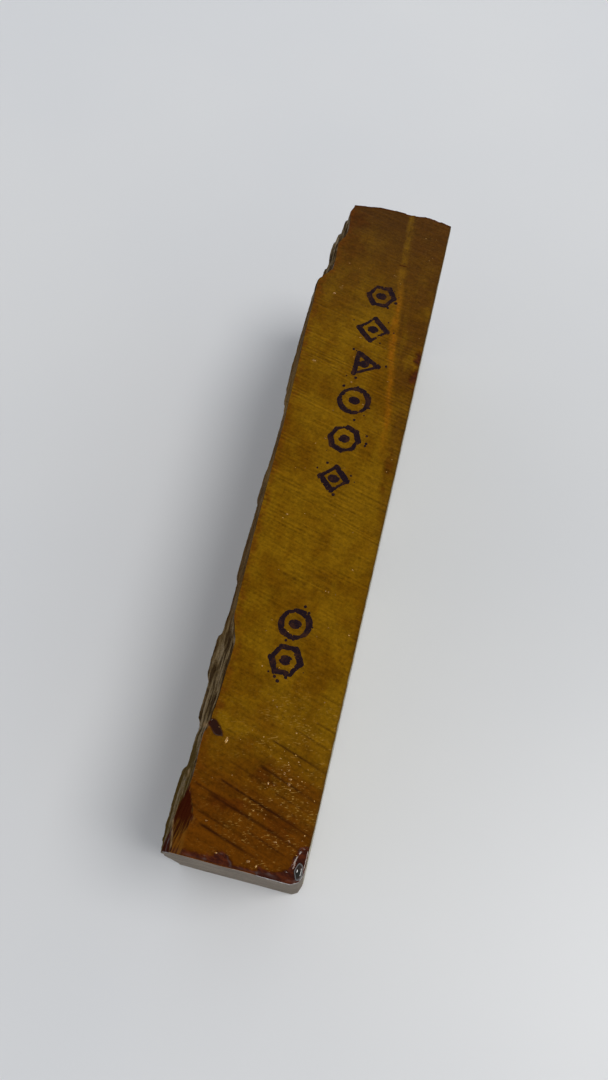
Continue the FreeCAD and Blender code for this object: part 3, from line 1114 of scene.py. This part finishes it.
def ink_look():
    """Old stamp ink: purple-black, dull, thinner in places."""
    look = Look("stamp_ink", Specular_IOR_Level=0.05)
    thin = look.noise(1.6, 4, 0.6)
    speck = look.noise(0.5, 3, 0.6, 6.0)
    look.ground(thin.step(0.45, 0.75), (27, 14, 22), (56, 32, 22))
    look.layer(speck.step(0.58, 0.7, 0.0, 0.7), (72, 46, 18))
    look.bump(thin, 0.02)
    return look.finish(Roughness=thin.step(0.3, 0.7, 0.5, 0.65))


def bead_look():
    """Clear, thick lacquer, almost black where it is deepest."""
    look = Look("bead_lacquer", Coat_Weight=1.0, Coat_Roughness=0.05, Specular_IOR_Level=0.5)
    cloud = look.noise(1.8, 3, 0.5)
    look.ground(cloud.step(0.4, 0.7), (22, 20, 10), (54, 26, 10))
    return look.finish(Roughness=cloud.step(0.3, 0.7, 0.1, 0.18))


def nib_look():
    """Dust under a skin of lacquer, glossy; its pale amber is partly a painted glint."""
    look = Look("nib_lacquer", Coat_Weight=0.7, Coat_Roughness=0.12, Specular_IOR_Level=0.3)
    cloud = look.noise(2.0, 3, 0.5)
    # The pale amber tones are partly painted glints.
    look.ground(cloud.step(0.4, 0.6), (132, 88, 24), (184, 138, 66))
    return look.finish(Roughness=0.2)


def table_look():
    """A white table top, satin and very slightly uneven."""
    look = Look("floor", Specular_IOR_Level=0.5)
    cloud = look.noise(190.0, 3, 0.5).step(0.3, 0.7)
    look.colour = look.mix(cloud, (0.74, 0.75, 0.77, 1.0), (0.77, 0.775, 0.785, 1.0))
    return look.finish(Roughness=0.42)


# ---- floor, camera, light


def make_floor():
    """The table top, far wider than what the stone's shadow needs."""
    size = 3.0
    mesh = bpy.data.meshes.new("floor")
    corners = [(-size, -size, 0), (size, -size, 0), (size, size, 0), (-size, size, 0)]
    mesh.from_pydata(corners, [], [(0, 1, 2, 3)])
    floor = add_object("floor", mesh)
    floor.data.materials.append(table_look())


def make_camera():
    """A phone's camera, held over the near end of the stone and tipped towards the far one."""
    lens = bpy.data.cameras.new("camera")
    lens.sensor_width = 36.0
    lens.lens = 27.07
    lens.clip_start = 0.01
    camera = add_object("camera", lens)
    turn = Matrix.Identity(4)
    for angle, axis in ((12.63, "Z"), (25.31, "X"), (1.27, "Z")):  # heading, tilt, roll
        turn = turn @ Matrix.Rotation(math.radians(angle), 4, axis)
    place = Vector((HONE + 0.4, NEAR - 7.3, TOP + 195.9)) * MM
    camera.matrix_world = Matrix.Translation(place) @ turn
    bpy.context.scene.camera = camera


def make_light():
    """One broad lamp beside and above the stone, on the honing face's side."""
    lamp = bpy.data.lights.new("key", "AREA")
    lamp.shape = "DISK"
    lamp.size = 1.05
    lamp.energy = 25.5
    lamp.color = (1.0, 0.985, 0.96)
    light = add_object("key", lamp)
    light.location = (1.06, -0.02, 2.25)
    light.rotation_euler = light.location.to_track_quat("Z", "Y").to_euler()


def make_world():
    """A room that is brightest near the horizon, like windows under a darker ceiling."""
    world = bpy.data.worlds.new("world")
    world.use_nodes = True
    room = Graph(world.node_tree)
    height = room.node("SeparateXYZ", {0: room.node("TexCoord", {}, "Generated")}, "Z")
    sky = room.tree.nodes["Background"]
    room.put(sky.inputs["Color"], (0.93, 0.96, 1.0, 1.0))
    room.put(sky.inputs["Strength"], height.step(0.25, 0.8, 1.35, 0.2))
    bpy.context.scene.world = world
    bpy.context.scene.view_settings.view_transform = "Standard"


def add_piece(piece, node, slot, *looks):
    """Gives a piece its materials and binds it to the frame."""
    for look in looks:
        piece.data.materials.append(look)
    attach(piece, "root")
    if node:
        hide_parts(node)


make_camera()
make_floor()
make_light()
make_world()
add_piece(make_coat(), "lacquer_coat", "lacquer", sawn_look(), riven_look(), square_look())
add_piece(make_stone(), "stone_block", "stone", stone_look())
add_piece(make_bead(), "corner_bead", "lacquer", bead_look())
ink = ink_look()
add_piece(make_stamp("upper_stamp"), "upper_stamp", "ink", ink)
add_piece(make_stamp("lower_stamp"), "lower_stamp", "ink", ink)
add_piece(make_nibs(), None, "lacquer", nib_look())
